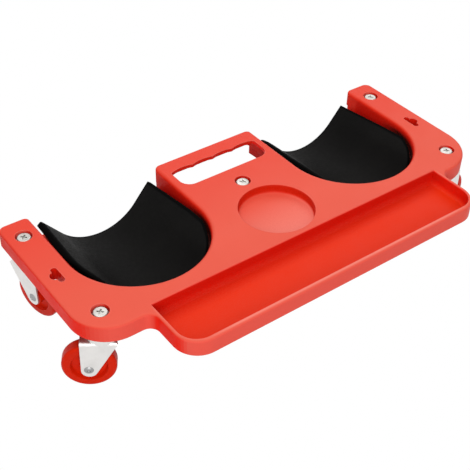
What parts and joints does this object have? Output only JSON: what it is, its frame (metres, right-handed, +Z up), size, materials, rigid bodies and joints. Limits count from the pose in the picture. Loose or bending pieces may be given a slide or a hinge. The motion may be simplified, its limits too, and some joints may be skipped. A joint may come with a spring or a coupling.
{
  "type": "knee creeper",
  "caption": "Low rolling deck for kneeling work: padded knee cups tilted down to the back, carry handle, tool tray in front, round parts dish, on swivel casters.",
  "frame": {"origin": "on the floor under the middle of the bounding box, which is the middle of the deck", "axes": "+X along the deck's length to the right of a kneeling user who faces the tray, +Y towards the carry handle and the user's feet, -Y the tray side, +Z up"},
  "size_m": [0.499, 0.235, 0.088],
  "materials": {
    "deck_plastic": "moulded polypropylene, satin, lightly pebbled",
    "pad_foam": "closed-cell foam, matt black",
    "zinc": "bright zinc plate",
    "steel": "plain steel",
    "wheel_plastic": "moulded plastic, smooth"
  },
  "bodies": {
    "deck_assembly": {"deck": "deck_plastic", "knee_pad_left": "pad_foam", "knee_pad_right": "pad_foam", "caster_bolts": "zinc", "bolt_washers": "zinc", "race_caps": "zinc", "kingpins": "steel", "thrust_washers": "steel", "lock_nuts": "zinc"},
    "swivel_front_left": {"fork_front_left": "zinc", "balls_front_left": "steel", "sleeve_front_left": "steel", "rivet_front_left": "steel"},
    "roller_front_left": {"wheel_front_left": "wheel_plastic"},
    "swivel_back_left": {"fork_back_left": "zinc", "balls_back_left": "steel", "sleeve_back_left": "steel", "rivet_back_left": "steel"},
    "roller_back_left": {"wheel_back_left": "wheel_plastic"},
    "swivel_centre": {"fork_centre": "zinc", "balls_centre": "steel", "sleeve_centre": "steel", "rivet_centre": "steel"},
    "roller_centre": {"wheel_centre": "wheel_plastic"},
    "swivel_front_right": {"fork_front_right": "zinc", "balls_front_right": "steel", "sleeve_front_right": "steel", "rivet_front_right": "steel"},
    "roller_front_right": {"wheel_front_right": "wheel_plastic"},
    "swivel_back_right": {"fork_back_right": "zinc", "balls_back_right": "steel", "sleeve_back_right": "steel", "rivet_back_right": "steel"},
    "roller_back_right": {"wheel_back_right": "wheel_plastic"}
  },
  "joints": [
    {"name": "front_left_swivel", "type": "hinge", "parent": "deck_assembly", "child": "swivel_front_left", "pos_m": [-0.2125, -0.0345, 0.058], "axis": [0, 0, 1], "continuous": true},
    {"name": "front_left_wheel_spin", "type": "hinge", "parent": "swivel_front_left", "child": "roller_front_left", "pos_m": [-0.22407, -0.02698, 0.025], "axis": [-0.5446, -0.8387, 0], "continuous": true},
    {"name": "back_left_swivel", "type": "hinge", "parent": "deck_assembly", "child": "swivel_back_left", "pos_m": [-0.2205, 0.0928, 0.058], "axis": [0, 0, 1], "continuous": true},
    {"name": "back_left_wheel_spin", "type": "hinge", "parent": "swivel_back_left", "child": "roller_back_left", "pos_m": [-0.21693, 0.07947, 0.025], "axis": [0.9659, 0.2588, 0], "continuous": true},
    {"name": "centre_swivel", "type": "hinge", "parent": "deck_assembly", "child": "swivel_centre", "pos_m": [0, 0.0455, 0.058], "axis": [0, 0, 1], "continuous": true},
    {"name": "centre_wheel_spin", "type": "hinge", "parent": "swivel_centre", "child": "roller_centre", "pos_m": [-0.00772, 0.03406, 0.025], "axis": [0.829, -0.5592, 0], "continuous": true},
    {"name": "front_right_swivel", "type": "hinge", "parent": "deck_assembly", "child": "swivel_front_right", "pos_m": [0.2125, -0.0345, 0.058], "axis": [0, 0, 1], "continuous": true},
    {"name": "front_right_wheel_spin", "type": "hinge", "parent": "swivel_front_right", "child": "roller_front_right", "pos_m": [0.22613, -0.03234, 0.025], "axis": [-0.1564, 0.9877, 0], "continuous": true},
    {"name": "back_right_swivel", "type": "hinge", "parent": "deck_assembly", "child": "swivel_back_right", "pos_m": [0.2205, 0.0928, 0.058], "axis": [0, 0, 1], "continuous": true},
    {"name": "back_right_wheel_spin", "type": "hinge", "parent": "swivel_back_right", "child": "roller_back_right", "pos_m": [0.20799, 0.08697, 0.025], "axis": [0.4226, -0.9063, 0], "continuous": true}
  ]
}
